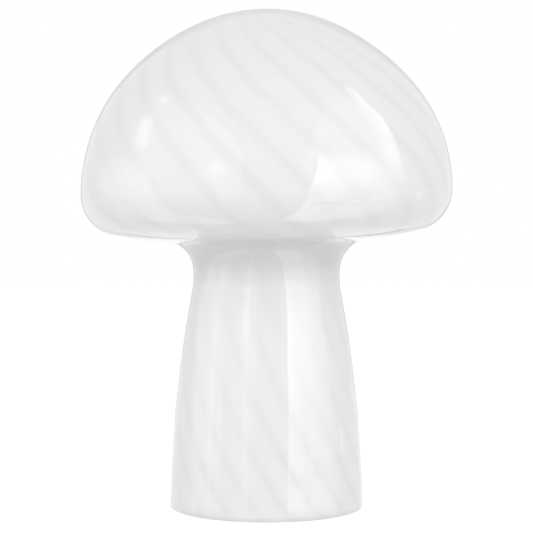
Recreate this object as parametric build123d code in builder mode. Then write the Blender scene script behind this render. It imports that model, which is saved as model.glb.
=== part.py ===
from build123d import *

import os
from math import acos, cos, degrees, radians, sin

# A mushroom table lamp in blown glass. Sizes are in millimetres, +Z is up, the origin is the middle of the foot
# on the table, and the cord hole is at the back, towards +Y.

# Glass: one blown skin, opal inside and clear outside, whose outline is a chain of tangent arcs
glass_height = 300.0
glass_wall = 4.4
# Each arc's radius, and the angle from straight up that the glass faces where the arc ends.
# A minus is a hollow arc, and the last arc runs down to the table.
glass_arcs = [
    (102.4, 27.2),  # crown
    (133.6, 48.6),  # shoulder
    (103.2, 90.0),  # cheek, down to the widest line
    (25.0, 163.6),  # rim
    (135.0, 177.6),  # underside
    (-17.6, 98.9),  # throat
    (-42.7, 79.3),  # neck
    (779.0, None),  # stem
]
foot_outer_round = 2.0
foot_inner_round = 1.0

# Cord inlet, through the back of the stem
inlet_height = 15.0
inlet_bore_radius = 3.5
inlet_barrel_radius = 4.9
inlet_hole_radius = 5.3
inlet_flange_radius = 8.5
inlet_flange_proud = 2.4
inlet_flange_bevel = 0.8
inlet_washer_radius = 8.0
inlet_washer_thickness = 1.2
inlet_nut_across_flats = 14.0
inlet_nut_thickness = 3.0
inlet_thread_spare = 1.2
seat_gap = 0.05

# Spring bracket: a hub on three bowed legs, bent from strip, with a soft sleeve on each foot
strip_thickness = 1.2
leg_width = 12.0
leg_angles = {1: -90.0, 2: 30.0, 3: 150.0}
hub_top = 76.0
hub_radius = 20.0
leg_start = 14.0
leg_bend = 22.0
leg_bow = (40.0, 44.0)
foot_reach = 51.4
foot_knee = 17.0
foot_end = 1.2
leg_bend_radii = [5.0, 150.0, 18.0]
sleeve_wall = 1.0
sleeve_height = 12.0
sleeve_round = 1.0

# Threaded nipple, its nut and its washer
nipple_radius = 5.0
nipple_bore_radius = 3.5
nipple_length = 15.0
nipple_above_hub = 8.0
nipple_fit = 0.05
lock_washer_radius = 9.0
lock_washer_thickness = 0.8
lock_nut_across_flats = 14.0
lock_nut_thickness = 3.0

# Lamp holder, whose heights are counted from the hub
holder_radius = 19.5
holder_wall = 2.2
holder_boss_radius = 9.0
holder_boss_height = 3.0
holder_floor = 8.0
holder_shoulder = 15.0
insert_seat = 18.0
holder_split = 21.0
holder_rim = 55.0
holder_lip_radius = 15.0
holder_lip_height = 2.0
holder_rim_bevel = 0.8
grip_count = 18
grip_radius = 1.0
insert_radius = 16.8
insert_height = 7.0
terminal_reach = 11.0
terminal_head_radius = 3.0
terminal_head_height = 2.2
terminal_shank_radius = 1.75
terminal_shank_length = 4.0
terminal_slot_width = 0.8
terminal_fit = 0.05
shell_radius = 13.3
shell_wall = 0.5
shell_height = 26.0
shell_floor_radius = 9.0
contact_thickness = 0.5
centre_contact_width = 5.0
centre_contact_foot = 7.8
centre_contact_gap = 0.3
side_contact_width = 4.0
side_contact_reach = 12.3
side_contact_height = 8.5

# Bulb, a slim tube of light whose heights are counted from its tip
bulb_tip = 105.0
bulb_height = 112.0
bulb_radius = 19.0
bulb_wall = 1.2
bulb_top_round = 8.0
bulb_top_bevel = 5.0
collar_foot_radius = 14.2
collar_shoulder = 42.0
collar_rim = 50.0
collar_wall = 1.5
collar_ledge_width = 2.5
collar_spigot_radius = 12.85
cap_radius = 13.0
cap_skirt_radius = 13.4
cap_wall = 0.5
cap_top = 27.0
cap_skirt_bottom = 24.0
cap_cone_top = 7.0
cap_cone_bottom = 3.0
cap_hole_radius = 8.5
tip_radius = 4.6
tip_height = 1.0
insulator_step = 5.4
insulator_height = 2.8
board_radius = 17.3
board_thickness = 1.6
led_count = 8
led_circle_radius = 11.0
led_size = 3.0
led_height = 0.8
driver_width = 17.0
driver_thickness = 1.6
driver_bottom = 14.0
capacitor_radius = 3.5
capacitor_height = 9.0
coil_width = 8.0
coil_height = 7.0

os.makedirs("parts", exist_ok=True)


def write(part, name):
    part.label = name
    export_step(part, f"parts/{name}.step")


# Glass


def glass_line(inset, foot_round):
    # The half outline of the glass, drawn this far inside its outer face and closed on the axis.
    # The arcs keep their middles: one that bulges loses the inset, and a hollow one gains it.
    # The stem stops where the foot's rounding takes over, and a minus rounds it outwards.
    top = Vector(0, glass_height - inset)
    point, heading, facing = top, Vector(1, 0), 0.0
    for radius, end in glass_arcs:
        size = abs(radius - inset)
        if end is None:
            middle = point.Y - size * cos(radians(facing))
            end = degrees(acos((abs(foot_round) - middle) / (size - foot_round)))
        arc = JernArc(point, heading, size, facing - end)
        point, heading, facing = arc @ 1, arc % 1, end
    foot = JernArc(point, heading, abs(foot_round), facing - (180 if foot_round > 0 else 0))
    Polyline(foot @ 1, (0, 0), top)


def glass_body(inset, foot_round):
    # The whole of what lies within one face of the glass, as a solid
    with BuildPart() as body:
        with BuildSketch(Plane.XZ):
            with BuildLine():
                glass_line(inset, foot_round)
            make_face()
        revolve(axis=Axis.Z)
    return body.part


def reach_at(body, height):
    # How far behind the axis a body of the glass comes at a height
    line = Axis((0, 0, height), (0, 1, 0))
    return max(point.Y for point, _ in body.find_intersection_points(line))


def inlet_plane(distance):
    # A plane across the inlet, this far behind the lamp's axis and facing back
    return Plane(origin=(0, distance, inlet_height), x_dir=(1, 0, 0), z_dir=(0, 1, 0))


def stem_cone(body, spread, gap):
    # The stem near the inlet as a plain cone, which the flange and the washer are hollowed to
    low, high = inlet_height - spread, inlet_height + spread
    with BuildPart(Plane.XY.offset(low)) as cone:
        Cone(
            reach_at(body, low) + gap,
            reach_at(body, high) + gap,
            high - low,
            align=(Align.CENTER, Align.CENTER, Align.MIN),
        )
    return cone.part


outside = glass_body(0.0, foot_outer_round)
hollow = glass_body(glass_wall, -foot_inner_round)
inlet_outer = reach_at(outside, inlet_height)
inlet_inner = reach_at(hollow, inlet_height)

with BuildPart() as cased_glass:
    add(outside)
    add(hollow, mode=Mode.SUBTRACT)
    with BuildSketch(inlet_plane(inlet_inner - glass_wall)):
        Circle(inlet_hole_radius)
    extrude(amount=3 * glass_wall, mode=Mode.SUBTRACT)

write(cased_glass.part, "cased_glass")

# Cord inlet, whose flange and washer are hollowed to the round of the stem

washer_face = inlet_inner - inlet_washer_thickness
nut_face = washer_face - inlet_nut_thickness
barrel_end = nut_face - inlet_thread_spare
flange_face = inlet_outer + inlet_flange_proud

with BuildPart() as cord_bush:
    with BuildSketch(inlet_plane(inlet_inner)):
        Circle(inlet_flange_radius)
    extrude(amount=flange_face - inlet_inner)
    chamfer(cord_bush.edges().group_by(Axis.Y)[-1], inlet_flange_bevel)
    add(stem_cone(outside, inlet_flange_radius, seat_gap), mode=Mode.SUBTRACT)
    with BuildSketch(inlet_plane(barrel_end)):
        Circle(inlet_barrel_radius)
    extrude(amount=inlet_outer + seat_gap - barrel_end)
    with BuildSketch(inlet_plane(barrel_end)):
        Circle(inlet_bore_radius)
    extrude(amount=flange_face - barrel_end, mode=Mode.SUBTRACT)

with BuildPart() as bush_washer:
    with BuildSketch(inlet_plane(washer_face)):
        Circle(inlet_washer_radius)
        Circle(inlet_hole_radius, mode=Mode.SUBTRACT)
    extrude(amount=glass_wall)
    add(stem_cone(hollow, inlet_washer_radius, 0.0), mode=Mode.INTERSECT)

with BuildPart() as bush_nut:
    with BuildSketch(inlet_plane(nut_face)):
        RegularPolygon(inlet_nut_across_flats / 2, 6, major_radius=False)
        Circle(inlet_barrel_radius, mode=Mode.SUBTRACT)
    extrude(amount=inlet_nut_thickness)

write(cord_bush.part, "cord_bush")
write(bush_washer.part, "bush_washer")
write(bush_nut.part, "bush_nut")

# Spring bracket

hub_middle = hub_top - strip_thickness / 2


def outwards(angle):
    return Vector(cos(radians(angle)), sin(radians(angle)), 0)


def leg_plane(angle):
    # The upright plane that a leg's side is drawn in: x runs outwards and y runs up
    return Plane(origin=(0, 0, 0), x_dir=outwards(angle), z_dir=outwards(angle).cross(Vector(0, 0, 1)))


def leg_path():
    # The leg's middle line: out of the hub, over the bend, down the bow, and upright at the foot
    points = [(leg_start, hub_middle), (leg_bend, hub_middle), leg_bow, (foot_reach, foot_knee)]
    return FilletPolyline(points + [(foot_reach, foot_end)], radius=leg_bend_radii)


with BuildPart() as tripod_bracket:
    with BuildSketch(Plane.XY.offset(hub_top - strip_thickness)):
        Circle(hub_radius)
        Circle(nipple_radius + nipple_fit, mode=Mode.SUBTRACT)
    extrude(amount=strip_thickness)
    for angle in leg_angles.values():
        with BuildSketch(leg_plane(angle)):
            with BuildLine():
                leg_path()
            trace(line_width=strip_thickness)
        extrude(amount=leg_width / 2, both=True)

write(tripod_bracket.part, "tripod_bracket")

for number, angle in leg_angles.items():
    with BuildPart() as leg_sleeve:
        with BuildSketch(Plane(origin=outwards(angle) * foot_reach, x_dir=outwards(angle))):
            RectangleRounded(strip_thickness + 2 * sleeve_wall, leg_width + 2 * sleeve_wall, sleeve_round)
        extrude(amount=sleeve_height)
        add(tripod_bracket.part, mode=Mode.SUBTRACT)
    write(leg_sleeve.part, f"leg_sleeve_{number}")

# Threaded nipple

hub_under = hub_top - strip_thickness
washer_under = hub_under - lock_washer_thickness
nipple_bottom = hub_top + nipple_above_hub - nipple_length

with BuildPart() as threaded_nipple:
    with BuildSketch(Plane.XY.offset(nipple_bottom)):
        Circle(nipple_radius)
        Circle(nipple_bore_radius, mode=Mode.SUBTRACT)
    extrude(amount=nipple_length)

with BuildPart() as nipple_lock_washer:
    with BuildSketch(Plane.XY.offset(washer_under)):
        Circle(lock_washer_radius)
        Circle(nipple_radius + nipple_fit, mode=Mode.SUBTRACT)
    extrude(amount=lock_washer_thickness)

with BuildPart() as nipple_lock_nut:
    with BuildSketch(Plane.XY.offset(washer_under - lock_nut_thickness)):
        RegularPolygon(lock_nut_across_flats / 2, 6, major_radius=False)
        Circle(nipple_radius, mode=Mode.SUBTRACT)
    extrude(amount=lock_nut_thickness)

write(threaded_nipple.part, "threaded_nipple")
write(nipple_lock_washer.part, "nipple_lock_washer")
write(nipple_lock_nut.part, "nipple_lock_nut")

# Lamp holder

split_height = hub_top + holder_split
rim_height = hub_top + holder_rim
insert_bottom = hub_top + insert_seat
insert_top = insert_bottom + insert_height
holder_bore = holder_radius - holder_wall
insert_ledge = insert_radius - holder_wall

with BuildPart() as holder_cap:
    with BuildSketch(Plane.XZ):
        with BuildLine():
            Polyline(
                (0, hub_top),
                (holder_boss_radius, hub_top),
                (holder_boss_radius, hub_top + holder_boss_height),
                (holder_radius, hub_top + holder_shoulder),
                (holder_radius, split_height),
                (holder_bore, split_height),
                (holder_bore, insert_bottom),
                (insert_ledge, insert_bottom),
                (insert_ledge, hub_top + holder_shoulder),
                (holder_boss_radius, hub_top + holder_floor),
                (0, hub_top + holder_floor),
                close=True,
            )
        make_face()
    revolve(axis=Axis.Z)
    with BuildSketch(Plane.XY.offset(hub_top)):
        Circle(nipple_radius + nipple_fit)
    extrude(amount=holder_floor, mode=Mode.SUBTRACT)
    with BuildSketch(Plane.XY.offset(hub_top + holder_shoulder)):
        with PolarLocations(holder_radius, grip_count):
            Circle(grip_radius)
    extrude(amount=holder_split - holder_shoulder, mode=Mode.SUBTRACT)

with BuildPart() as holder_skirt:
    with BuildSketch(Plane.XY.offset(split_height)):
        Circle(holder_radius)
    extrude(amount=rim_height - split_height)
    chamfer(holder_skirt.edges().group_by(Axis.Z)[-1], holder_rim_bevel)
    with BuildSketch(Plane.XY.offset(split_height)):
        Circle(holder_bore)
    extrude(amount=rim_height - split_height - holder_lip_height, mode=Mode.SUBTRACT)
    with BuildSketch(Plane.XY.offset(rim_height)):
        Circle(holder_lip_radius)
    extrude(amount=-holder_lip_height, mode=Mode.SUBTRACT)

with BuildPart() as holder_insert:
    with BuildSketch(Plane.XY.offset(insert_bottom)):
        Circle(insert_radius)
        with PolarLocations(terminal_reach, 2):
            Circle(terminal_shank_radius + terminal_fit, mode=Mode.SUBTRACT)
    extrude(amount=insert_height)

with BuildPart() as holder_screw_shell:
    with BuildSketch(Plane.XY.offset(insert_top)):
        Circle(shell_radius + shell_wall)
        Circle(shell_floor_radius, mode=Mode.SUBTRACT)
    extrude(amount=shell_wall)
    with BuildSketch(Plane.XY.offset(insert_top + shell_wall)):
        Circle(shell_radius + shell_wall)
        Circle(shell_radius, mode=Mode.SUBTRACT)
    extrude(amount=shell_height - shell_wall)

with BuildPart() as terminal_screws:
    for x in (-terminal_reach, terminal_reach):
        with BuildSketch(Plane((x, 0, insert_bottom))):
            Circle(terminal_head_radius)
        extrude(amount=-terminal_head_height)
        with BuildSketch(Plane((x, 0, insert_bottom))):
            Circle(terminal_shank_radius)
        extrude(amount=terminal_shank_length)
        with BuildSketch(Plane((x, 0, insert_bottom - terminal_head_height))):
            Rectangle(2 * terminal_head_radius, terminal_slot_width)
        extrude(amount=terminal_head_height / 2, mode=Mode.SUBTRACT)

crest = bulb_tip - centre_contact_gap - contact_thickness / 2
tongue_foot = insert_top + contact_thickness / 2

with BuildPart() as holder_centre_contact:
    with BuildSketch(Plane.XZ):
        with BuildLine():
            FilletPolyline(
                (-centre_contact_foot, tongue_foot),
                (-centre_contact_foot / 2, tongue_foot),
                (-1.5, crest),
                (1.5, crest),
                (centre_contact_foot / 2, tongue_foot + 1),
                radius=0.8,
            )
        trace(line_width=contact_thickness)
    extrude(amount=centre_contact_width / 2, both=True)

side_foot = insert_top + shell_wall + contact_thickness / 2

with BuildPart() as holder_side_contact:
    with BuildSketch(Plane.XZ):
        with BuildLine():
            FilletPolyline(
                (shell_floor_radius + 0.3, side_foot),
                (side_contact_reach, side_foot),
                (side_contact_reach, insert_top + side_contact_height),
                radius=0.8,
            )
        trace(line_width=contact_thickness)
    extrude(amount=side_contact_width / 2, both=True)

write(holder_cap.part, "holder_cap")
write(holder_skirt.part, "holder_skirt")
write(holder_insert.part, "holder_insert")
write(holder_screw_shell.part, "holder_screw_shell")
write(terminal_screws.part, "terminal_screws")
write(holder_centre_contact.part, "holder_centre_contact")
write(holder_side_contact.part, "holder_side_contact")

# Bulb


def above_tip(height):
    return bulb_tip + height


rim = above_tip(collar_rim)
shoulder = above_tip(collar_shoulder)
cap_end = above_tip(cap_top)
skirt_bottom = above_tip(cap_skirt_bottom)
tube_top = above_tip(bulb_height)
board_bottom = rim - board_thickness
collar_inner = bulb_radius - collar_wall
ledge_inner = board_radius - collar_ledge_width

with BuildPart() as bulb_tube:
    with BuildSketch(Plane.XY.offset(rim)):
        Circle(bulb_radius)
    extrude(amount=tube_top - rim)
    fillet(bulb_tube.edges().group_by(Axis.Z)[-1], bulb_top_round)
    with BuildSketch(Plane.XZ):
        with BuildLine():
            Polyline(
                (0, rim),
                (bulb_radius - bulb_wall, rim),
                (bulb_radius - bulb_wall, tube_top - bulb_wall - bulb_top_bevel),
                (bulb_radius - bulb_wall - bulb_top_bevel, tube_top - bulb_wall),
                (0, tube_top - bulb_wall),
                close=True,
            )
        make_face()
    revolve(axis=Axis.Z, mode=Mode.SUBTRACT)

with BuildPart() as bulb_collar:
    with BuildSketch(Plane.XZ):
        with BuildLine():
            Polyline(
                (collar_foot_radius, cap_end),
                (bulb_radius, shoulder),
                (bulb_radius, rim),
                (collar_inner, rim),
                (collar_inner, board_bottom),
                (ledge_inner, board_bottom),
                (ledge_inner, board_bottom - collar_wall),
                (collar_inner, board_bottom - collar_wall),
                (collar_inner, shoulder),
                (collar_foot_radius - collar_wall, cap_end),
                (collar_spigot_radius - collar_wall, cap_end),
                (collar_spigot_radius - collar_wall, skirt_bottom + cap_wall),
                (collar_spigot_radius, skirt_bottom + cap_wall),
                (collar_spigot_radius, cap_end),
                close=True,
            )
        make_face()
    revolve(axis=Axis.Z)

with BuildPart() as bulb_screw_cap:
    with BuildSketch(Plane.XZ):
        with BuildLine():
            Polyline(
                (cap_hole_radius, above_tip(cap_cone_bottom)),
                (cap_radius, above_tip(cap_cone_top)),
                (cap_radius, skirt_bottom),
                (cap_skirt_radius, skirt_bottom),
                (cap_skirt_radius, cap_end),
                (cap_skirt_radius - cap_wall, cap_end),
                (cap_skirt_radius - cap_wall, skirt_bottom + cap_wall),
                (cap_radius - cap_wall, skirt_bottom + cap_wall),
                (cap_radius - cap_wall, above_tip(cap_cone_top) + cap_wall / 2),
                (cap_hole_radius, above_tip(cap_cone_bottom) + 3 * cap_wall / 2),
                close=True,
            )
        make_face()
    revolve(axis=Axis.Z)

with BuildPart() as bulb_insulator:
    with BuildSketch(Plane.XZ):
        with BuildLine():
            Polyline(
                (0, above_tip(tip_height)),
                (insulator_step, above_tip(tip_height)),
                (cap_hole_radius, above_tip(cap_cone_bottom)),
                (cap_hole_radius, above_tip(tip_height + insulator_height)),
                (0, above_tip(tip_height + insulator_height)),
                close=True,
            )
        make_face()
    revolve(axis=Axis.Z)

with BuildPart() as bulb_tip_contact:
    with BuildSketch(Plane.XY.offset(bulb_tip)):
        Circle(tip_radius)
    extrude(amount=tip_height)
    chamfer(bulb_tip_contact.edges().group_by(Axis.Z)[0], tip_height / 2)

with BuildPart() as bulb_led_board:
    with BuildSketch(Plane.XY.offset(board_bottom)):
        Circle(board_radius)
    extrude(amount=board_thickness)
    with BuildSketch(Plane.XY.offset(rim)):
        with PolarLocations(led_circle_radius, led_count):
            Rectangle(led_size, led_size)
    extrude(amount=led_height)

with BuildPart() as bulb_driver_board:
    with BuildSketch(Plane.XY.offset(above_tip(driver_bottom))):
        Rectangle(driver_width, driver_thickness)
    extrude(amount=board_bottom - above_tip(driver_bottom))
    with BuildSketch(Plane.XY.offset(cap_end)):
        with Locations((0, driver_thickness / 2 + capacitor_radius)):
            Circle(capacitor_radius)
        with Locations((0, driver_thickness / 2)):
            Rectangle(capacitor_radius, capacitor_radius, align=(Align.CENTER, Align.MIN))
    extrude(amount=capacitor_height)
    with BuildSketch(Plane.XY.offset(cap_end)):
        with Locations((0, -driver_thickness / 2)):
            Rectangle(coil_width, coil_width, align=(Align.CENTER, Align.MAX))
    extrude(amount=coil_height)

write(bulb_tube.part, "bulb_tube")
write(bulb_collar.part, "bulb_collar")
write(bulb_screw_cap.part, "bulb_screw_cap")
write(bulb_insulator.part, "bulb_insulator")
write(bulb_tip_contact.part, "bulb_tip_contact")
write(bulb_led_board.part, "bulb_led_board")
write(bulb_driver_board.part, "bulb_driver_board")
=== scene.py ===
import math

import bpy
import numpy as np
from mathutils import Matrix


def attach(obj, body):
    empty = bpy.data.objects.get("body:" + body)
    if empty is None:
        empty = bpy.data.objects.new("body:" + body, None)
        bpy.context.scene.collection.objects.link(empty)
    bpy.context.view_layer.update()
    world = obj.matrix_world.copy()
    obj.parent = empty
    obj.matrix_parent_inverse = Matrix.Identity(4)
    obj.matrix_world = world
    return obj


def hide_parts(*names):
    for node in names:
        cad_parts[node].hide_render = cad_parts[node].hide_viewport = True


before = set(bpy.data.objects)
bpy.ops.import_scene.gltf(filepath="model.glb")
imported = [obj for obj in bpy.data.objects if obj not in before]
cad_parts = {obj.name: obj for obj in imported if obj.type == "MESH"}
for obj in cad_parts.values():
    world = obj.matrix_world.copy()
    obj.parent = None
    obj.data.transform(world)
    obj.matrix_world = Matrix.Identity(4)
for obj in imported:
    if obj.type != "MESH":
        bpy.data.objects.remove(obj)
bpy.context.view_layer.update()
mm = 0.001
tiny = 1e-9  # a radius under this lies on the axis
slight = 1e-6  # keeps a fall off zero
print("frame loaded:", len(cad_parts), "nodes")


class Shader:
    # a material with one Principled node, and short ways to add nodes to it
    def __init__(self, name, colour, rough, metal=0.0, **sockets):
        self.mat = bpy.data.materials.new(name)
        self.mat.use_nodes = True
        self.tree = self.mat.node_tree
        self.bsdf = self.tree.nodes["Principled BSDF"]
        self.set(self.bsdf, **{"Base Color": (*colour, 1.0), "Roughness": rough, "Metallic": metal})
        self.set(self.bsdf, **sockets)

    def set(self, node, **values):
        for name, value in values.items():
            node.inputs[name].default_value = value

    def node(self, kind, **settings):
        made = self.tree.nodes.new(kind)
        for name, value in settings.items():
            setattr(made, name, value)
        return made

    def link(self, source, target):
        self.tree.links.new(source, target)

    def maths(self, operation, a, b=None, c=None):
        made = self.node("ShaderNodeMath", operation=operation)
        for socket, value in zip(made.inputs, (a, b, c)):
            if isinstance(value, (int, float)):
                socket.default_value = value
            elif value is not None:
                self.link(value, socket)
        return made.outputs[0]

    def objectPoint(self, stretch=(1.0, 1.0, 1.0)):
        # Object coordinates through a Mapping node, scaled by stretch
        coords = self.node("ShaderNodeTexCoord")
        mapping = self.node("ShaderNodeMapping")
        mapping.inputs["Scale"].default_value = stretch
        self.link(coords.outputs["Object"], mapping.inputs["Vector"])
        return mapping.outputs["Vector"]

    def separate(self, vector):
        made = self.node("ShaderNodeSeparateXYZ")
        self.link(vector, made.inputs["Vector"])
        return made.outputs["X"], made.outputs["Y"], made.outputs["Z"]

    def group(self, tree, vector, **values):
        made = self.node("ShaderNodeGroup", node_tree=tree)
        self.set(made, **values)
        self.link(vector, made.inputs["Vector"])
        return made

    def bump(self, height, strength, distance):
        made = self.node("ShaderNodeBump")
        self.set(made, Strength=strength, Distance=distance)
        self.link(height, made.inputs["Height"])
        self.link(made.outputs["Normal"], self.bsdf.inputs["Normal"])


def newGroup(name, inputs, outputs):
    # an empty node group with named sockets: each entry is (name, kind, default)
    tree = bpy.data.node_groups.new(name, "ShaderNodeTree")
    kinds = {"float": "NodeSocketFloat", "colour": "NodeSocketColor", "vector": "NodeSocketVector"}
    for side, entries in (("INPUT", inputs), ("OUTPUT", outputs)):
        for label, kind, default in entries:
            socket = tree.interface.new_socket(name=label, in_out=side, socket_type=kinds[kind])
            if default is not None:
                socket.default_value = default
    return tree, tree.nodes.new("NodeGroupInput"), tree.nodes.new("NodeGroupOutput")


def makeFinishGroup():
    # Finish: the base colour drifts between two tones with a soft noise, a fine noise roughens the gloss in
    # patches and gives a height for the bump
    tree, given, out = newGroup(
        "softFinish",
        [
            ("Vector", "vector", None),
            ("Tone", "colour", (0.8, 0.8, 0.8, 1.0)),
            ("Shade", "colour", (0.7, 0.7, 0.7, 1.0)),
            ("Scale", "float", 40.0),
            ("Grain Scale", "float", 900.0),
            ("Roughness", "float", 0.4),
            ("Roughness Spread", "float", 0.1),
        ],
        [("Color", "colour", None), ("Roughness", "float", None), ("Height", "float", None)],
    )
    link = tree.links.new
    drift = tree.nodes.new("ShaderNodeTexNoise")
    grain = tree.nodes.new("ShaderNodeTexNoise")
    mix = tree.nodes.new("ShaderNodeMix")
    mix.data_type = "RGBA"
    spread = tree.nodes.new("ShaderNodeMath")
    spread.operation = "MULTIPLY_ADD"
    centre = tree.nodes.new("ShaderNodeMath")
    centre.operation = "SUBTRACT"
    centre.inputs[1].default_value = 0.5
    for texture, scale, detail in ((drift, "Scale", 3.0), (grain, "Grain Scale", 2.0)):
        texture.inputs["Detail"].default_value = detail
        link(given.outputs["Vector"], texture.inputs["Vector"])
        link(given.outputs[scale], texture.inputs["Scale"])
    link(drift.outputs["Fac"], mix.inputs["Factor"])
    link(given.outputs["Tone"], mix.inputs["A"])
    link(given.outputs["Shade"], mix.inputs["B"])
    link(drift.outputs["Fac"], centre.inputs[0])
    link(centre.outputs[0], spread.inputs[0])
    link(given.outputs["Roughness Spread"], spread.inputs[1])
    link(given.outputs["Roughness"], spread.inputs[2])
    link(mix.outputs["Result"], out.inputs["Color"])
    link(spread.outputs[0], out.inputs["Roughness"])
    link(grain.outputs["Fac"], out.inputs["Height"])
    return tree


softFinish = makeFinishGroup()


def finished(name, recipe):
    # a material whose tone, gloss and grain come from softFinish
    tone, shade = recipe["tones"]
    height, strength = recipe["bump"]
    shader = Shader(name, tone, recipe["rough"], recipe.get("metal", 0.0), **recipe.get("sockets", {}))
    group = shader.group(
        softFinish,
        shader.objectPoint(recipe.get("stretch", (1, 1, 1))),
        **{
            "Tone": (*tone, 1.0),
            "Shade": (*shade, 1.0),
            "Scale": recipe["scale"],
            "Grain Scale": recipe["grain"],
            "Roughness": recipe["rough"],
            "Roughness Spread": recipe["spread"],
        },
    )
    shader.link(group.outputs["Color"], shader.bsdf.inputs["Base Color"])
    shader.link(group.outputs["Roughness"], shader.bsdf.inputs["Roughness"])
    shader.bump(group.outputs["Height"], strength, height * mm)
    return shader


def overlay(s, colour, mask, rough=None):
    # lays a plain colour, and with it a gloss, over what feeds the base colour, as far as the mask says
    under = s.bsdf.inputs["Base Color"].links[0].from_socket
    mix = s.node("ShaderNodeMix", data_type="RGBA")
    s.link(mask, mix.inputs["Factor"])
    s.link(under, mix.inputs["A"])
    mix.inputs["B"].default_value = (*colour, 1.0)
    s.link(mix.outputs["Result"], s.bsdf.inputs["Base Color"])
    if rough is not None:
        gloss = s.node("ShaderNodeMix", data_type="FLOAT")
        s.link(mask, gloss.inputs["Factor"])
        s.link(s.bsdf.inputs["Roughness"].links[0].from_socket, gloss.inputs["A"])
        gloss.inputs["B"].default_value = rough
        s.link(gloss.outputs["Result"], s.bsdf.inputs["Roughness"])


def speckles(s, scale, size, share):
    # small round flecks: 1 within this distance of the middles of this share of the cells
    cells = s.node("ShaderNodeTexVoronoi")
    s.set(cells, Scale=scale)
    s.link(s.objectPoint(), cells.inputs["Vector"])
    near = s.maths("LESS_THAN", cells.outputs["Distance"], size)
    chosen = s.maths("LESS_THAN", s.separate(cells.outputs["Color"])[0], share)
    return s.maths("MULTIPLY", near, chosen)


moulded = {  # an even tone, an orange-peel grain and a few grey specks of dust
    "scale": 60, "grain": 1500, "spread": 0.12, "bump": (0.02, 0.3),
    "flecks": ((0.62, 0.6, 0.56), 420, 0.08, 0.1, None),
    "sockets": {"Specular IOR Level": 0.45},
}

soft = {  # matt, faintly yellowed, dusty
    "rough": 0.72,
    "scale": 150, "grain": 2600, "spread": 0.14, "bump": (0.05, 0.5),
    "flecks": ((0.6, 0.58, 0.53), 600, 0.14, 0.3, 0.85),
    "sockets": {"Sheen Weight": 0.15},
}

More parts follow.
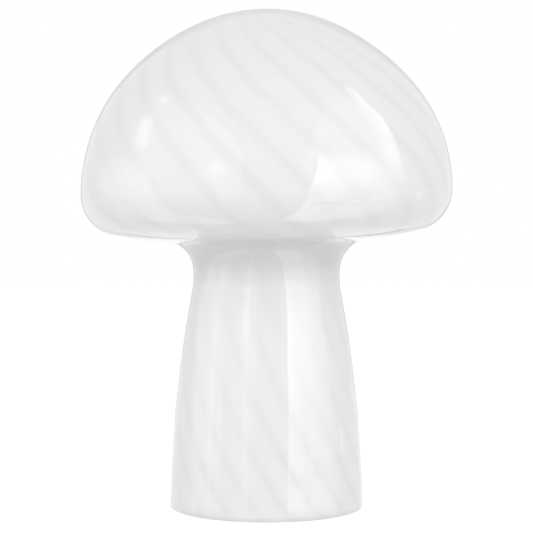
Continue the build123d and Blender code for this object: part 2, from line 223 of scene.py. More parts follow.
finishRecipes = {
    # tones: the two that the base colour drifts between. scale, grain: how fine the drift and the grain are.
    # spread: how far the gloss strays from rough. bump: the grain's height in mm, and its strength. stretch
    # draws both noises out along an axis. flecks: colour, how fine, how large, how many, and their own gloss.
    "spring_steel": {  # rolled strip: long fine lines, a faint straw tint and small dark marks
        "tones": ((0.6, 0.6, 0.59), (0.5, 0.49, 0.46)),
        "rough": 0.33, "metal": 1.0, "stretch": (1, 1, 0.04),
        "scale": 30, "grain": 2400, "spread": 0.2, "bump": (0.01, 0.4),
        "flecks": ((0.42, 0.36, 0.28), 260, 0.22, 0.2, 0.55),
    },
    "zinc_steel": {  # bright zinc: crystal patches of two blue-white tones under a fine grain
        "tones": ((0.74, 0.76, 0.8), (0.66, 0.67, 0.68)),
        "rough": 0.3, "metal": 1.0,
        "scale": 160, "grain": 3000, "spread": 0.2, "bump": (0.01, 0.3),
        "flecks": ((0.78, 0.76, 0.68), 420, 0.35, 0.35, 0.25),
    },
    "nickel_brass": {  # nickel on brass, its lines rolled round the shell, with brass showing in specks
        "tones": ((0.78, 0.76, 0.72), (0.7, 0.67, 0.61)),
        "rough": 0.24, "metal": 1.0, "stretch": (0.08, 0.08, 1),
        "scale": 120, "grain": 5000, "spread": 0.16, "bump": (0.008, 0.4),
        "flecks": ((0.72, 0.6, 0.38), 520, 0.16, 0.15, 0.4),
    },
    "contact_brass": {  # springs with brown tarnish in patches
        "tones": ((0.82, 0.64, 0.32), (0.62, 0.43, 0.2)),
        "rough": 0.28, "metal": 1.0,
        "scale": 190, "grain": 3600, "spread": 0.25, "bump": (0.008, 0.4),
        "flecks": ((0.4, 0.26, 0.14), 700, 0.3, 0.25, 0.5),
    },
    "solder": {  # a dome of dull tin with flux-brown flecks
        "tones": ((0.72, 0.73, 0.75), (0.55, 0.56, 0.58)),
        "rough": 0.38, "metal": 1.0,
        "scale": 600, "grain": 2600, "spread": 0.3, "bump": (0.03, 0.6),
        "flecks": ((0.45, 0.36, 0.22), 900, 0.25, 0.2, 0.6),
    },
    "holder_plastic": {**moulded, "tones": ((0.86, 0.86, 0.84), (0.82, 0.82, 0.79)), "rough": 0.34},
    "bulb_plastic": {**moulded, "tones": ((0.9, 0.9, 0.89), (0.86, 0.86, 0.84)), "rough": 0.3},
    "clear_plastic": {  # milky clear plastic of the bush: light carries into it, with a few moulding specks
        "tones": ((0.86, 0.88, 0.88), (0.8, 0.83, 0.83)),
        "rough": 0.14,
        "scale": 120, "grain": 2200, "spread": 0.08, "bump": (0.015, 0.3),
        "flecks": ((0.7, 0.72, 0.7), 520, 0.08, 0.1, None),
        "sockets": {"Subsurface Weight": 0.35, "Subsurface Radius": (0.004, 0.004, 0.004)},
    },
    "ceramic": {  # unglazed steatite: cream, matt, with fine dark grains
        "tones": ((0.87, 0.85, 0.8), (0.8, 0.78, 0.72)),
        "rough": 0.62,
        "scale": 220, "grain": 4200, "spread": 0.15, "bump": (0.04, 0.6),
        "flecks": ((0.5, 0.46, 0.4), 900, 0.16, 0.25, 0.8),
    },
    "soft_sleeve": {**soft, "tones": ((0.74, 0.75, 0.74), (0.666, 0.675, 0.666))},
    "soft_washer": {**soft, "tones": ((0.79, 0.79, 0.76), (0.711, 0.711, 0.684))},
    "opal_plastic": {  # opal tube: milky, satin, with a faint flow pattern along its length
        "tones": ((0.92, 0.92, 0.91), (0.88, 0.88, 0.87)),
        "rough": 0.36, "stretch": (1, 1, 0.25),
        "scale": 70, "grain": 1200, "spread": 0.12, "bump": (0.02, 0.25),
        "sockets": {"Subsurface Weight": 0.25, "Subsurface Radius": (0.004, 0.004, 0.004)},
    },
    "black_insulator": {  # glossy vitreous black with pale pits
        "tones": ((0.035, 0.035, 0.04), (0.06, 0.055, 0.05)),
        "rough": 0.16,
        "scale": 300, "grain": 2400, "spread": 0.12, "bump": (0.03, 0.5),
        "flecks": ((0.3, 0.29, 0.27), 1300, 0.1, 0.15, 0.6),
    },
    "led_board": {  # white lacquer
        "tones": ((0.85, 0.86, 0.86), (0.8, 0.81, 0.8)),
        "rough": 0.38,
        "scale": 120, "grain": 2600, "spread": 0.14, "bump": (0.02, 0.4),
    },
    "driver_board": {  # green lacquer with solder spots
        "tones": ((0.13, 0.33, 0.17), (0.09, 0.25, 0.13)),
        "rough": 0.34,
        "scale": 160, "grain": 3000, "spread": 0.15, "bump": (0.03, 0.5),
        "flecks": ((0.5, 0.47, 0.3), 420, 0.14, 0.4, 0.3),
    },
}

ledBoard = {  # in mm
    "trackRadius": 11.0,
    "trackHalfWidth": 0.9,
    "face": 155.08,
    "track": (0.74, 0.72, 0.66),
    "chip": (0.86, 0.68, 0.12),
    "chipRough": 0.5,
}

driverBoard = {  # in mm
    "face": 0.86,
    "sleeve": (0.05, 0.06, 0.1),
    "sleeveRough": 0.4,
    "copper": (0.62, 0.3, 0.14),
    "copperRough": 0.35,
}


def paintLedBoard(s):
    # copper tracks that show as a ring through the lacquer, and yellow chips above the board's face
    x, y, z = s.separate(s.objectPoint())
    fromMiddle = s.maths("SQRT", s.maths("MULTIPLY_ADD", x, x, s.maths("MULTIPLY", y, y)))
    track = s.maths("COMPARE", fromMiddle, ledBoard["trackRadius"] * mm, ledBoard["trackHalfWidth"] * mm)
    overlay(s, ledBoard["track"], track)
    overlay(s, ledBoard["chip"], s.maths("GREATER_THAN", z, ledBoard["face"] * mm), ledBoard["chipRough"])


def paintDriverBoard(s):
    # the capacitor's dark sleeve and the coil's copper, which stand off the board's two faces
    y = s.separate(s.objectPoint())[1]
    sleeve = s.maths("GREATER_THAN", y, driverBoard["face"] * mm)
    copper = s.maths("LESS_THAN", y, -driverBoard["face"] * mm)
    overlay(s, driverBoard["sleeve"], sleeve, driverBoard["sleeveRough"])
    overlay(s, driverBoard["copper"], copper, driverBoard["copperRough"])


def makeFinishes():
    made = {}
    for name, recipe in finishRecipes.items():
        made[name] = finished(name, recipe)
        if "flecks" in recipe:
            colour, fine, size, share, rough = recipe["flecks"]
            overlay(made[name], colour, speckles(made[name], fine, size, share), rough)
    paintLedBoard(made["led_board"])
    paintDriverBoard(made["driver_board"])
    return {name: shader.mat for name, shader in made.items()}


nodeFinishes = {
    "cord_bush": "clear_plastic",
    "bush_washer": "soft_washer",
    "bush_nut": "clear_plastic",
    "tripod_bracket": "spring_steel",
    "leg_sleeve_1": "soft_sleeve",
    "leg_sleeve_2": "soft_sleeve",
    "leg_sleeve_3": "soft_sleeve",
    "nipple_lock_washer": "zinc_steel",
    "nipple_lock_nut": "zinc_steel",
    "holder_cap": "holder_plastic",
    "holder_skirt": "holder_plastic",
    "holder_insert": "ceramic",
    "holder_centre_contact": "contact_brass",
    "holder_side_contact": "contact_brass",
    "terminal_screws": "zinc_steel",
    "bulb_tip_contact": "solder",
    "bulb_tube": "opal_plastic",
    "bulb_collar": "bulb_plastic",
    "bulb_insulator": "black_insulator",
    "bulb_led_board": "led_board",
    "bulb_driver_board": "driver_board",
}

finishes = makeFinishes()
for nodeName, finishName in nodeFinishes.items():
    for holder in bpy.data.objects[nodeName].material_slots:
        holder.material = finishes[finishName]
print("finishes made:", len(finishes))


def addSurface(name, points, faces, uvs=None):
    # a mesh from whole arrays: points n x 3, faces a list of index arrays, uvs one pair for each corner
    mesh = bpy.data.meshes.new(name)
    corners = np.concatenate([f.ravel() for f in faces])
    sizes = np.concatenate([np.full(len(f), f.shape[1]) for f in faces])
    starts = np.concatenate([[0], np.cumsum(sizes)[:-1]])
    mesh.vertices.add(len(points))
    mesh.vertices.foreach_set("co", points.astype(np.float32).ravel())
    mesh.loops.add(len(corners))
    mesh.loops.foreach_set("vertex_index", corners.astype(np.int32))
    mesh.polygons.add(len(sizes))
    mesh.polygons.foreach_set("loop_start", starts.astype(np.int32))
    mesh.polygons.foreach_set("loop_total", sizes.astype(np.int32))
    mesh.polygons.foreach_set("use_smooth", np.ones(len(sizes), bool))
    if uvs is not None:
        layer = mesh.uv_layers.new(name="UVMap")
        layer.data.foreach_set("uv", uvs.astype(np.float32).ravel())
    mesh.update()
    mesh.validate()
    piece = bpy.data.objects.new(name, mesh)
    bpy.context.scene.collection.objects.link(piece)
    return piece


def turned(name, radius, height, along, around, warp):
    # A surface of revolution: point = (radius sin turn, -radius cos turn, height) for each step of the
    # profile and each turn, then warped. A profile that starts or ends on the axis closes in a pole there,
    # any other closes on itself. Along gives each step's v for the UVs.
    turn = np.arange(around) / around * 2 * np.pi
    poles = radius[0] < tiny, radius[-1] < tiny
    body = slice(1 if poles[0] else 0, len(radius) - 1 if poles[1] else len(radius))
    ringR, ringZ, ringV = radius[body], height[body], along[body]
    x = np.outer(ringR, np.sin(turn))
    y = -np.outer(ringR, np.cos(turn))
    z = np.repeat(ringZ[:, None], around, 1)
    points = np.stack([x, y, z], -1).reshape(-1, 3)
    rings = len(ringR)
    row = np.arange(rings if not any(poles) else rings - 1)
    a, j = np.meshgrid(row, np.arange(around), indexing="ij")
    a, j = a.ravel(), j.ravel()
    b, k = (a + 1) % rings, (j + 1) % around
    quads = np.stack([a * around + j, b * around + j, b * around + k, a * around + k], 1)
    u0, u1 = j / around, (j + 1) / around
    quadUv = np.stack([u0, ringV[a], u0, ringV[b], u1, ringV[b], u1, ringV[a]], 1)
    faces, uvs = [quads], [quadUv.ravel()]
    j = np.arange(around)
    k = (j + 1) % around
    for end, ring in ((0, 0), (-1, rings - 1)):
        if poles[end]:
            pole = np.full(around, len(points))
            points = np.vstack([points, [0.0, 0.0, height[end]]])
            order = (pole, ring * around + j, ring * around + k)
            u = ((j + 0.5) / around, j / around, (j + 1) / around)
            v = (np.full(around, along[end]), np.full(around, ringV[ring]), np.full(around, ringV[ring]))
            if end == -1:
                order, u, v = order[::-1], u[::-1], v[::-1]
            faces.append(np.stack(order, 1))
            uvs.append(np.stack([u[0], v[0], u[1], v[1], u[2], v[2]], 1).ravel())
    return addSurface(name, warp(points), faces, np.concatenate(uvs))


glassShape = {
    "height": 300.0,
    "arcs": [  # radius, and the angle from straight up that the glass faces where the arc ends
        (102.4, 27.2),
        (133.6, 48.6),
        (103.2, 90.0),
        (25.0, 163.6),
        (135.0, 177.6),
        (-17.6, 98.9),
        (-42.7, 79.3),
        (779.0, None),
    ],
    "opalStart": 3.0,  # how deep the opal lies under the clear skin
    "skinDepth": 3.5,  # the clear skin's inner face, buried in the opal that it is fused to
    "wall": 4.4,
    "footOuterRound": 2.0,
    "footInnerRound": 1.0,
    "around": 192,
    "step": 3.2,  # longest step along an arc
    "turnStep": 5.0,  # largest turn between steps, in degrees
    "rimTilt": 0.017,  # the blown rim sits a little higher on the right
    "rimTiltBand": (148.0, 166.0, 196.0, 280.0),
}


def glassLine(inset, footRound):
    # The chain of tangent arcs down the glass, this far inside its outer face: each arc keeps its middle,
    # one that bulges loses the inset and a hollow one gains it. A foot round above 0 turns the line inwards
    # to the ground, one below 0 outwards. Gives radius, height and the length run so far, in mm.
    shape = glassShape
    point, facing, lines = np.array([0.0, shape["height"] - inset]), 0.0, []
    arcs = [(radius, radius - inset, end) for radius, end in shape["arcs"]]
    if footRound:
        arcs.append((footRound, footRound, 180.0 if footRound > 0 else 0.0))
    for signed, size, end in arcs:
        bulge, size = math.copysign(1, signed), abs(size)
        middle = point - bulge * size * np.array([math.sin(facing), math.cos(facing)])
        if end is None:
            stop = math.acos((abs(footRound) - middle[1]) / (size - footRound))
        else:
            stop = math.radians(end)
        turn = abs(stop - facing)
        steps = 1 + int(max(turn * size / shape["step"], math.degrees(turn) / shape["turnStep"]))
        angle = np.linspace(facing, stop, steps + 1)
        arc = middle + bulge * size * np.stack([np.sin(angle), np.cos(angle)], 1)
        lines.append(arc[1:])
        point, facing = arc[-1], stop
    line = np.vstack([[[0.0, shape["height"] - inset]], *lines])
    run = np.concatenate([[0.0], np.cumsum(np.hypot(*np.diff(line, axis=0).T))])
    return line[:, 0], line[:, 1], run


def smoothStep(low, high, value):
    t = np.clip((value - low) / (high - low), 0, 1)
    return t * t * (3 - 2 * t)


def blownWarp(points):
    # the rim's tilt: height grows with x, most at the rim and not at all on the crown or the stem
    low, full, still, top = (v * mm for v in glassShape["rimTiltBand"])
    band = smoothStep(low, full, points[:, 2]) * (1 - smoothStep(still, top, points[:, 2]))
    points = points.copy()
    points[:, 2] += glassShape["rimTilt"] * points[:, 0] * band
    return points


def glassLayer(name, outerInset, outerRound, innerInset, innerRound):
    # a closed layer: down its outer line to the foot, across, and back up its inner line
    outer = glassLine(outerInset, outerRound)
    inner = glassLine(innerInset, innerRound)
    radius, height, run = (np.concatenate([o, i[::-1]]) * mm for o, i in zip(outer, inner))
    return turned(name, radius, height, run, glassShape["around"], blownWarp)


swirl = {
    "capCount": 24,
    "capTwist": 500.0,  # degrees round for each metre down
    "capStart": -73.35,  # a streak's angle, carried back to the crown
    "stemCount": 19,
    "stemTop": 0.270,  # metres down the glass, where the stem's own twist is counted from
    "stemTwist": 350.0,
    "stemTwistGrowth": 1540.0,  # and how much it grows, in degrees for each metre squared
    "stemStart": -57.5,
    "throat": (0.225, 0.250),  # where the cap's streaks change over to the stem's
    "sharpness": 2.7,
    "rough": 0.32,
    "specular": 0.35,
    "light": (0.9, 0.9, 0.9),
    "dark": (0.85, 0.85, 0.852),
    # where each kind of streak starts and ends getting clearer down the glass, and how faint it starts
    "capFade": (0.0, 0.1, 0.3),
    "stemFade": (0.255, 0.37, 0.35),
    # painted shade under the cap: the opal's colour is darkened to grey round the throat: start, full, still
    # full, end
    "paintedThroatShade": (0.232, 0.240, 0.252, 0.272),
    "grey": 0.84,
    "wander": 2.2,  # radians that a streak strays
    "wanderNoise": (14.0, 2.0),  # scale and detail
    "patchNoise": (22.0, 3.0),  # fades the streaks in places and dimples the opal
    "patchFade": (1.2, 0.2),
    "patchBump": (0.2, 0.1),  # strength, and height in mm
}


def ramp(s, value, start, end, low=0.0, smooth=True):
    # rises from low to 1 while the value goes from start to end
    made = s.node("ShaderNodeMapRange", interpolation_type="SMOOTHSTEP" if smooth else "LINEAR")
    s.set(made, **{"From Min": start, "From Max": end, "To Min": low})
    s.link(value, made.inputs["Value"])
    return made.outputs["Result"]


def noise(s, scale, detail, stretch=(1.0, 1.0, 1.0)):
    made = s.node("ShaderNodeTexNoise")
    s.set(made, Scale=scale, Detail=detail)
    s.link(s.objectPoint(stretch), made.inputs["Vector"])
    return made.outputs["Fac"]


def opalMaterial():
    # White opal with twisted threads: a cosine of the angle round, turned steadily with the length down the
    # glass, sharpened, wandering with a soft noise and fading in places
    s = Shader("opalGlass", swirl["light"], swirl["rough"], **{"Specular IOR Level": swirl["specular"]})
    uv = s.node("ShaderNodeUVMap", uv_map="UVMap")
    u, v = s.separate(uv.outputs["UV"])[:2]
    around = s.maths("MULTIPLY", u, 360.0)
    capTurn = s.maths("MULTIPLY_ADD", v, swirl["capTwist"], swirl["capStart"])
    down = s.maths("SUBTRACT", v, swirl["stemTop"])
    squared = s.maths("MULTIPLY", down, down)
    growth = s.maths("MULTIPLY_ADD", squared, swirl["stemTwistGrowth"], swirl["stemStart"])
    stemTurn = s.maths("MULTIPLY_ADD", down, swirl["stemTwist"], growth)
    stray = s.maths("SUBTRACT", noise(s, *swirl["wanderNoise"]), 0.5)
    stray = s.maths("MULTIPLY", stray, 2 * swirl["wander"])
    streaks = []
    for turn, count, (start, end, faint) in (
        (capTurn, swirl["capCount"], swirl["capFade"]),
        (stemTurn, swirl["stemCount"], swirl["stemFade"]),
    ):
        phase = s.maths("MULTIPLY", s.maths("SUBTRACT", around, turn), math.radians(count))
        wave = s.maths("COSINE", s.maths("ADD", phase, stray))
        sharp = s.maths("POWER", s.maths("MULTIPLY_ADD", wave, 0.5, 0.5), swirl["sharpness"])
        streaks.append(s.maths("MULTIPLY", sharp, ramp(s, v, start, end, faint, smooth=False)))
    streak = s.node("ShaderNodeMix", data_type="FLOAT")
    s.link(ramp(s, v, *swirl["throat"]), streak.inputs["Factor"])
    s.link(streaks[0], streak.inputs["A"])
    s.link(streaks[1], streak.inputs["B"])
    patches = noise(s, *swirl["patchNoise"])
    fade = s.maths("MULTIPLY_ADD", patches, *swirl["patchFade"])
    colour = s.node("ShaderNodeMix", data_type="RGBA")
    s.link(s.maths("MULTIPLY", streak.outputs["Result"], fade), colour.inputs["Factor"])
    s.set(colour, A=(*swirl["light"], 1.0), B=(*swirl["dark"], 1.0))
    # painted shade: multiplies the colour darker round the throat, where the cap shades the stem's top
    start, full, still, end = swirl["paintedThroatShade"]
    band = s.maths("SUBTRACT", ramp(s, v, start, full), ramp(s, v, still, end))
    paintedThroatShade = s.node("ShaderNodeMix", data_type="RGBA", blend_type="MULTIPLY")
    s.link(band, paintedThroatShade.inputs["Factor"])
    s.link(colour.outputs["Result"], paintedThroatShade.inputs["A"])
    s.set(paintedThroatShade, B=(*(swirl["grey"],) * 3, 1.0))
    s.link(paintedThroatShade.outputs["Result"], s.bsdf.inputs["Base Color"])
    strength, height = swirl["patchBump"]
    s.bump(patches, strength, height * mm)
    return s.mat


clearSkin = {
    "ior": 1.5,
    "waves": (18.0, 1.0, (1.0, 1.0, 0.5)),  # scale, detail and stretch of the slow waves of blowing
    "lines": (260.0, 2.0, (1.0, 1.0, 0.03)),  # and of the fine drawn lines
    "lineShare": 0.05,
    "bump": 0.5,  # in mm
}


def skinMaterial():
    # Clear glass with slow waves and fine drawn lines. Lamps and soft bounces pass it unbent.
    s = Shader("clearSkin", (1.0, 1.0, 1.0), 0.0, **{"Transmission Weight": 1.0, "IOR": clearSkin["ior"]})
    waves = noise(s, *clearSkin["waves"])
    lines = noise(s, *clearSkin["lines"])
    s.bump(s.maths("MULTIPLY_ADD", lines, clearSkin["lineShare"], waves), 1.0, clearSkin["bump"] * mm)
    path = s.node("ShaderNodeLightPath")
    unbent = s.maths("MAXIMUM", path.outputs["Is Shadow Ray"], path.outputs["Is Diffuse Ray"])
    clear = s.node("ShaderNodeBsdfTransparent")
    mix = s.node("ShaderNodeMixShader")
    s.link(unbent, mix.inputs["Fac"])
    s.link(s.bsdf.outputs["BSDF"], mix.inputs[1])
    s.link(clear.outputs["BSDF"], mix.inputs[2])
    s.link(mix.outputs["Shader"], s.tree.nodes["Material Output"].inputs["Surface"])
    return s.mat


inletHole = {"height": 15.0, "radius": 5.3, "from": 40.0, "to": 70.0, "sides": 48}


def cutInlet(piece):
    # takes a round hole for the cord out of the back of a layer, with an exact Boolean that is applied here
    hole = inletHole
    turn = np.arange(hole["sides"]) / hole["sides"] * 2 * np.pi
    x, z = hole["radius"] * np.sin(turn), hole["height"] + hole["radius"] * np.cos(turn)
    ends = [np.stack([x, np.full_like(x, y), z], 1) for y in (hole["from"], hole["to"])]
    j = np.arange(hole["sides"])
    k = (j + 1) % hole["sides"]
    wall = np.stack([j, j + hole["sides"], k + hole["sides"], k], 1)
    caps = [j[None, :], (j + hole["sides"])[None, ::-1]]
    cutter = addSurface("cutter", np.vstack(ends) * mm, [wall, *caps])
    cut = piece.modifiers.new("inlet", "BOOLEAN")
    cut.operation, cut.solver, cut.object = "DIFFERENCE", "EXACT", cutter
    ready = piece.evaluated_get(bpy.context.evaluated_depsgraph_get())
    mesh = bpy.data.meshes.new_from_object(ready)
    piece.modifiers.clear()
    piece.data = mesh
    bpy.data.objects.remove(cutter)


def makeGlass():
    shape = glassShape
    opal = glassLayer("opal_lining", shape["opalStart"], 0.0, shape["wall"], -shape["footInnerRound"])
    skin = glassLayer("clear_skin", 0.0, shape["footOuterRound"], shape["skinDepth"], 0.0)
    for piece, material in ((opal, opalMaterial()), (skin, skinMaterial())):
        cutInlet(piece)
        piece.data.materials.clear()
        piece.data.materials.append(material)
        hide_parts("cased_glass")
        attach(piece, "glass")
    print("glass made:", len(opal.data.polygons) + len(skin.data.polygons), "faces")


makeGlass()


def wound(pitch, depth, low, high):
    # A right-hand thread for turned(): radius -= depth (1 - cos(2 pi z / pitch - turn)) / 2, faded in over
    # half a pitch at both ends of its run in height

    def warp(points):
        points = points.copy()
        x, y, z = points.T
        radius = np.hypot(x, y)
        turn = np.arctan2(y, x)
        fade = smoothStep(low, low + pitch / 2, z) * (1 - smoothStep(high - pitch / 2, high, z))
        wave = 0.5 - 0.5 * np.cos(2 * np.pi * z / pitch - turn)
        points[:, :2] *= (1 - depth * fade * wave / radius)[:, None]
        return points

    return warp


def denser(corners, step):
    # a closed profile of straight sides, with points added so that none is longer than step
    corners = np.array(corners, float)
    line = []
    for start, end in zip(corners, np.roll(corners, -1, 0)):
        count = max(1, math.ceil(np.hypot(*(end - start)) / step))
        line.append(start + (end - start) * np.arange(count)[:, None] / count)
    return np.vstack(line)


threadedParts = {
    # in mm: the thread's pitch, depth and where it starts and ends in height, and closed profiles of radius
    # and height, the outer side going down first, then back up the inner side
    "bulb_screw_cap": {
        "body": "bulb", "slot": "nickel_brass", "step": 0.42, "around": 96,
        "thread": (3.629, 0.75, 112.5, 128.5),
        "profile": [
            (12.9, 132.0), (13.25, 132.0), (13.4, 131.85), (13.4, 129.7), (13.25, 129.3),
            (13.0, 129.0), (13.0, 112.0), (12.7, 111.2), (8.6, 108.15), (8.3, 108.2),
            (8.2, 108.5), (12.3, 111.6), (12.6, 112.3), (12.6, 129.2), (12.9, 129.8),
        ],
    },
    "holder_screw_shell": {
        "body": "fitting", "slot": "nickel_brass", "step": 0.42, "around": 96,
        "thread": (3.629, 0.45, 103.0, 125.5),
        "profile": [
            (13.5, 127.0), (13.8, 126.9), (13.8, 101.3), (13.5, 101.0), (9.2, 101.0), (9.0, 101.2),
            (9.0, 101.4), (9.2, 101.5), (13.1, 101.5), (13.3, 101.8), (13.3, 126.8),
        ],
    },
    "threaded_nipple": {
        "body": "fitting", "slot": "zinc_steel", "step": 0.2, "around": 64,
        "thread": (1.0, 0.5, 69.2, 83.8),
        "profile": [
            (3.7, 84.0), (4.6, 84.0), (5.0, 83.6), (5.0, 69.4),
            (4.6, 69.0), (3.7, 69.0), (3.5, 69.2), (3.5, 83.8),
        ],
    },
}


def makeThreaded():
    for name, part in threadedParts.items():
        line = denser(part["profile"], part["step"]) * mm
        along = np.arange(len(line)) / len(line)
        thread = wound(*(v * mm for v in part["thread"]))
        piece = turned(name, line[:, 0], line[:, 1], along, part["around"], thread)
        piece.name = name + "_threaded"
        piece.data.materials.append(finishes[part["slot"]])
        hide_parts(name)
        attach(piece, part["body"])
    print("threads made")


makeThreaded()


studio = {
    "distance": 0.934,  # camera to the lamp's axis
    "eye": 0.155,
    "focal": 1543.0,  # pixels across a 533-pixel frame
    "framePixels": 533.0,
    "horizonLift": 16.2,  # pixels that the eye line stands above the frame's middle
    "sensor": 36.0,
    "worldLight": 0.57,
    "floorHalf": 6.0,
    "floorColour": 0.94,
    "floorRough": 0.9,
    "floorGlow": 0.93,  # what the camera and reflections see of it, besides the share that shadows fall on
    "floorShadow": 0.25,
    "lampAim": 0.17,  # the height that the lamps face
    "panelDistance": 1.2,
    "foldedHeight": 127.0,  # mm: the stem leans back most here, so a panel that is laid out up to it
    "foldRaise": 0.2,  # is carried on upwards by this much
    "panelFloor": 0.004,  # the lowest that a panel reaches
    "panelFoot": 0.005,  # the lowest place on the glass that one is laid out from
    "panelGrid": (24, 40),  # rows and columns
    "ripples": 20,
    "ripplesSeed": 7,
    "rimHeight": 0.168,  # the cap's underside, from where the dark edges are laid out
    "shadeGrid": (16, 40),
}


def makeCamera():
    data = bpy.data.cameras.new("camera")
    data.sensor_width = studio["sensor"]
    data.lens = studio["focal"] / studio["framePixels"] * studio["sensor"]
    data.shift_y = -studio["horizonLift"] / studio["framePixels"]
    camera = bpy.data.objects.new("camera", data)
    camera.location = (0.0, -studio["distance"], studio["eye"])
    camera.rotation_euler = (math.radians(90), 0.0, 0.0)
    bpy.context.scene.collection.objects.link(camera)
    bpy.context.scene.camera = camera


def makeWorld():
    # White to the eye and in reflections, and a plain level of soft light elsewhere
    world = bpy.data.worlds.new("studio")
    bpy.context.scene.world = world
    world.use_nodes = True
    tree = world.node_tree
    background = tree.nodes["Background"]
    path = tree.nodes.new("ShaderNodeLightPath")
    seen = tree.nodes.new("ShaderNodeMath")
    seen.operation = "MAXIMUM"
    tree.links.new(path.outputs["Is Camera Ray"], seen.inputs[0])
    tree.links.new(path.outputs["Is Transmission Ray"], seen.inputs[1])
    seenGlossy = tree.nodes.new("ShaderNodeMath")
    seenGlossy.operation = "MAXIMUM"
    tree.links.new(seen.outputs[0], seenGlossy.inputs[0])
    tree.links.new(path.outputs["Is Glossy Ray"], seenGlossy.inputs[1])
    level = tree.nodes.new("ShaderNodeMapRange")
    level.inputs["To Min"].default_value = studio["worldLight"]
    level.inputs["To Max"].default_value = 1.0
    tree.links.new(seenGlossy.outputs[0], level.inputs["Value"])
    tree.links.new(level.outputs["Result"], background.inputs["Strength"])
    background.inputs["Color"].default_value = (1.0, 1.0, 1.0, 1.0)


def makeFloor():
    # A pale floor that the camera sees as white, less a share of the shadow that falls on it
    half = studio["floorHalf"]
    points = np.array([(-half, -half, 0.0), (half, -half, 0.0), (half, half, 0.0), (-half, half, 0.0)])
    floor = addSurface("floor", points, [np.array([[0, 1, 2, 3]])])
    colour = (studio["floorColour"],) * 3
    s = Shader("floorWhite", colour, studio["floorRough"], **{"Specular IOR Level": 0.0})
    path = s.node("ShaderNodeLightPath")
    glow = s.node("ShaderNodeEmission")
    glow.inputs["Strength"].default_value = studio["floorGlow"]
    plain = s.node("ShaderNodeBsdfDiffuse")
    plain.inputs["Color"].default_value = (*(studio["floorShadow"],) * 3, 1.0)
    both = s.node("ShaderNodeAddShader")
    s.link(glow.outputs[0], both.inputs[0])
    s.link(plain.outputs[0], both.inputs[1])
    mix = s.node("ShaderNodeMixShader")
    seen = s.maths("MAXIMUM", path.outputs["Is Camera Ray"], path.outputs["Is Transmission Ray"])
    seen = s.maths("MAXIMUM", seen, path.outputs["Is Glossy Ray"])
    s.link(seen, mix.inputs["Fac"])
    s.link(s.bsdf.outputs[0], mix.inputs[1])
    s.link(both.outputs[0], mix.inputs[2])
    # open from below, so that a view from there shows the foot
    side = s.node("ShaderNodeNewGeometry")
    gone = s.node("ShaderNodeBsdfTransparent")
    fromBelow = s.node("ShaderNodeMixShader")
    s.link(side.outputs["Backfacing"], fromBelow.inputs["Fac"])
    s.link(mix.outputs[0], fromBelow.inputs[1])
    s.link(gone.outputs[0], fromBelow.inputs[2])
    s.link(fromBelow.outputs[0], s.tree.nodes["Material Output"].inputs["Surface"])
    floor.data.materials.append(s.mat)


fills = {
    # azimuth from and to, round from the camera towards the right, elevation from and to, distance, radiance
    "fill_right": (25.0, 95.0, 0.0, 58.0, 1.4, 0.43),
    "fill_left": (-105.0, -35.0, 0.0, 58.0, 1.4, 0.38),
    "fill_front": (-40.0, 40.0, -3.0, 52.0, 1.5, 0.51),
}


def makeFill(name, azFrom, azTo, low, high, distance, radiance):
    # A rectangular lamp facing the glass that spans these angles as seen from it. Power = pi area radiance.
    data = bpy.data.lights.new(name, "AREA")
    data.shape = "RECTANGLE"
    data.size = 2 * distance * math.tan(math.radians(azTo - azFrom) / 2)
    data.size_y = 2 * distance * math.tan(math.radians(high - low) / 2)
    data.energy = math.pi * data.size * data.size_y * radiance
    lamp = bpy.data.objects.new(name, data)
    azimuth, lift = math.radians((azFrom + azTo) / 2), math.radians((low + high) / 2)
    flat = distance * math.cos(lift)
    rise = studio["lampAim"] + distance * math.sin(lift)
    lamp.location = (flat * math.sin(azimuth), -flat * math.cos(azimuth), rise)
    lamp.rotation_euler = (math.pi / 2 - lift, 0.0, azimuth)
    lamp.visible_glossy = False
    bpy.context.scene.collection.objects.link(lamp)


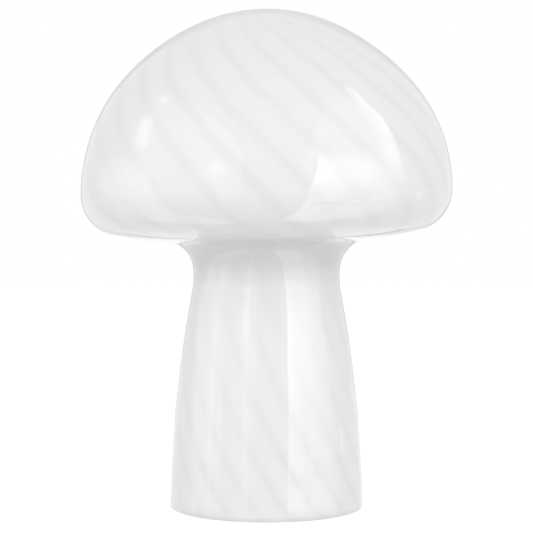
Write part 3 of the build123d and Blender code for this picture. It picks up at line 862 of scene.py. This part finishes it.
panels = {
    # Studio panels that only reflections see. Each is laid out by where its mirror image falls on the glass:
    # rows of height in mm and the azimuths of its left and right edges there. Then radiance at the left and
    # right edge, how much of the width or height each soft edge takes (left, right, top, bottom), and how
    # streaky it is.
    "right_cap": (
        [
            (247, 25.5, 27), (237, 20, 31.5), (228, 16.5, 37), (220, 14, 39.5),
            (209, 11.5, 41.5), (200, 9.3, 43), (190, 9.3, 45), (178, 11.5, 48.5),
        ],
        0.55, 1.1, (0.04, 0.05, 0.25, 0.5), 0.12,
    ),
    "left_cap": (
        [
            (245, -40, -33), (240, -42, -29), (232, -47, -20), (221, -50, -12),
            (209, -52, -6.5), (192, -54, -6.5), (174, -54, -7),
        ],
        0.75, 0.85, (0.3, 0.03, 0.4, 0.4), 0.15,
    ),
    "right_stem": (
        [(127, 14.5, 47), (68, 12.5, 47), (3, 11.5, 50.5)],
        1.7, 1.0, (0.01, 0.35, 0.045, 0.02), 0.3,
    ),
    "right_stem_high": (
        [(127, 14.5, 40), (68, 12.5, 38), (52, 12.2, 37)],
        1.6, 0.3, (0.01, 0.6, 0.06, 0.6), 0.8,
    ),
    "left_stem": (
        [(127, -62, -31), (68, -56, -27), (3, -53, -25)],
        0.9, 0.8, (0.3, 0.06, 0.045, 0.02), 0.25,
    ),
    "streak_left": ([(128, -40, -35), (3, -36, -32)], 0.7, 0.7, (0.4, 0.4, 0.2, 0.1), 0.2),
    "streak_middle": ([(135, -18, -10), (3, -15, -10)], 0.6, 0.6, (0.4, 0.4, 0.2, 0.1), 0.2),
    "glow_left": ([(233, -43, -36), (209, -44, -35)], 1.5, 1.5, (0.4, 0.4, 0.35, 0.35), 0.1),
    "glow_left_high": ([(242, -38, -32), (234, -38, -32)], 1.2, 1.2, (0.4, 0.4, 0.4, 0.4), 0.0),
    "glow_left_low": ([(206, -18, -11), (194, -18, -11)], 1.3, 1.3, (0.45, 0.3, 0.45, 0.45), 0.0),
    "glow_right": (
        [(247, 24.5, 27.5), (237, 26, 32.5), (228, 28.5, 37.5), (220, 31, 40), (212, 32, 41.5)],
        1.5, 2.1, (0.6, 0.04, 0.15, 0.25), 0.4,
    ),
    "glow_right_low": (
        [(216, 31, 41), (206, 33, 42.3), (196, 37, 44)],
        1.0, 1.5, (0.6, 0.1, 0.2, 0.6), 0.25,
    ),
    "spot_neck": ([(146, 48, 52), (141, 49, 53)], 0.9, 0.9, (0.4, 0.4, 0.4, 0.4), 0.0),
}

shades = {
    # Dark edges of the studio that only reflections see: rows of elevation with azimuth from and to, seen
    # from the lamp, then the distance, or less where they lie on the floor, the radiance left, and the share
    # of the width and height that each soft edge takes
    "edge_right": ([(-24, 154, 169), (50, 157, 169)], 1.6, 0.66, (0.3, 0.05, 0.35, 0.5)),
    "edge_left": ([(-24, -154, -169), (50, -157, -169)], 1.6, 0.66, (0.3, 0.05, 0.35, 0.5)),
    "edge_top": ([(17, 150, 210), (50, 150, 210)], 1.6, 0.72, (0.25, 0.25, 0.1, 0.7)),
    "table_edge": ([(-13.5, 148, 212), (-17.5, 148, 212)], 9.0, 0.45, (0.3, 0.3, 0.3, 0.65)),
}


def softPanel(name, points, level, edges, darkLight=None):
    # A grid with soft edges that only reflections see. It adds light to what is behind it, or, given a dark
    # light, hides that behind a surface of this radiance.
    rows, columns = points.shape[:2]
    s, t = np.meshgrid(np.linspace(0, 1, columns), np.linspace(0, 1, rows))
    left, right, top, bottom = edges
    fade = smoothStep(0, left, s) * smoothStep(0, right, 1 - s)
    fade = fade * smoothStep(0, top, t) * smoothStep(0, bottom, 1 - t)
    i, j = np.meshgrid(np.arange(rows - 1), np.arange(columns - 1), indexing="ij")
    first = (i * columns + j).ravel()
    quads = np.stack([first, first + 1, first + columns + 1, first + columns], 1)
    panel = addSurface(name, points.reshape(-1, 3), [quads])
    glow = panel.data.attributes.new("glow", "FLOAT", "POINT")
    glow.data.foreach_set("value", (fade * level).astype(np.float32).ravel())
    shader = Shader(name, (1.0, 1.0, 1.0), 1.0)
    read = shader.node("ShaderNodeAttribute", attribute_name="glow")
    light = shader.node("ShaderNodeEmission")
    clear = shader.node("ShaderNodeBsdfTransparent")
    if darkLight is not None:
        join = shader.node("ShaderNodeMixShader")
        light.inputs["Strength"].default_value = darkLight
        shader.link(read.outputs["Fac"], join.inputs["Fac"])
        shader.link(clear.outputs[0], join.inputs[1])
        shader.link(light.outputs[0], join.inputs[2])
    else:
        join = shader.node("ShaderNodeAddShader")
        shader.link(read.outputs["Fac"], light.inputs["Strength"])
        shader.link(clear.outputs[0], join.inputs[0])
        shader.link(light.outputs[0], join.inputs[1])
    shader.link(join.outputs[0], shader.tree.nodes["Material Output"].inputs["Surface"])
    shader.mat.cycles.emission_sampling = "NONE"
    panel.data.materials.append(shader.mat)
    for seen in ("visible_camera", "visible_diffuse", "visible_transmission", "visible_shadow"):
        setattr(panel, seen, False)


def makePanels():
    # A bright panel's point = the glass point + its mirrored line of sight times the distance, or less
    # where that meets the floor. Mirrored = d - 2 (d.n) n, with d the line of sight and n the glass's
    # outward normal.
    radius, height, run = (v * mm for v in glassLine(0.0, glassShape["footOuterRound"]))
    slope = np.stack([-np.gradient(height, run), np.gradient(radius, run)])
    rng = np.random.default_rng(studio["ripplesSeed"])
    eye = np.array([0.0, -studio["distance"], studio["eye"]])
    rowCount, columns = studio["panelGrid"]
    ripples = studio["ripples"]
    across = np.linspace(0, 1, columns)
    for name, (rows, leftLevel, rightLevel, edges, streaky) in panels.items():
        rows = np.array(rows, float)[::-1]
        high = np.linspace(rows[-1, 0], rows[0, 0], rowCount)
        left, right = (np.interp(high, rows[:, 0], rows[:, side]) for side in (1, 2))
        turn = np.radians(np.linspace(left, right, columns, axis=1))
        r, out, up = (np.interp(high * mm, height[::-1], v[::-1])[:, None] for v in (radius, *slope))
        flat = np.zeros_like(turn)
        place = np.stack([r * np.sin(turn), -r * np.cos(turn), high[:, None] * mm + flat], -1)
        normal = np.stack([out * np.sin(turn), -out * np.cos(turn), up + flat], -1)
        normal /= np.linalg.norm(normal, axis=-1, keepdims=True)
        sight = place - eye
        sight /= np.linalg.norm(sight, axis=-1, keepdims=True)
        mirrored = sight - 2 * (sight * normal).sum(-1, keepdims=True) * normal
        fall = np.maximum(-mirrored[..., 2], slight)
        above = np.maximum(place[..., 2], studio["panelFoot"]) - studio["panelFloor"]
        panel = place + mirrored * np.minimum(studio["panelDistance"], above / fall)[..., None]
        ripple = np.interp(across, np.linspace(0, 1, ripples), rng.uniform(-1, 1, ripples))
        level = np.linspace(leftLevel, rightLevel, columns) * (1 + streaky * ripple)
        if rows[-1, 0] == studio["foldedHeight"]:
            panel[0, :, 2] += studio["foldRaise"]
        softPanel(name, panel, level[None, :], edges)


def makeShades():
    # A dark edge's point = the middle of the cap's rim + its direction times the distance, held above the
    # floor
    rowCount, columns = studio["shadeGrid"]
    rim = studio["rimHeight"]
    for name, (rows, distance, darkLight, edges) in shades.items():
        first, last = np.radians(rows)
        lift = np.linspace(first[0], last[0], rowCount)[:, None]
        spread = np.linspace(0, 1, columns)
        lean = (lift - first[0]) / (last[0] - first[0]) * (last[1] - first[1])
        turn = first[1] + (first[2] - first[1]) * spread + lean * (1 - spread)
        lift = lift + np.zeros_like(turn)
        far = np.minimum(distance, (rim - studio["panelFloor"]) / np.maximum(-np.sin(lift), slight))
        flat = far * np.cos(lift)
        high = np.maximum(rim + far * np.sin(lift), studio["panelFloor"])
        place = np.stack([flat * np.sin(turn), -flat * np.cos(turn), high], -1)
        softPanel(name, place, 1.0, edges, darkLight)


makeCamera()
makeWorld()
makeFloor()
makePanels()
makeShades()
for fillName, span in fills.items():
    makeFill(fillName, *span)
print("stage made")
bpy.context.scene.view_settings.view_transform = "Standard"
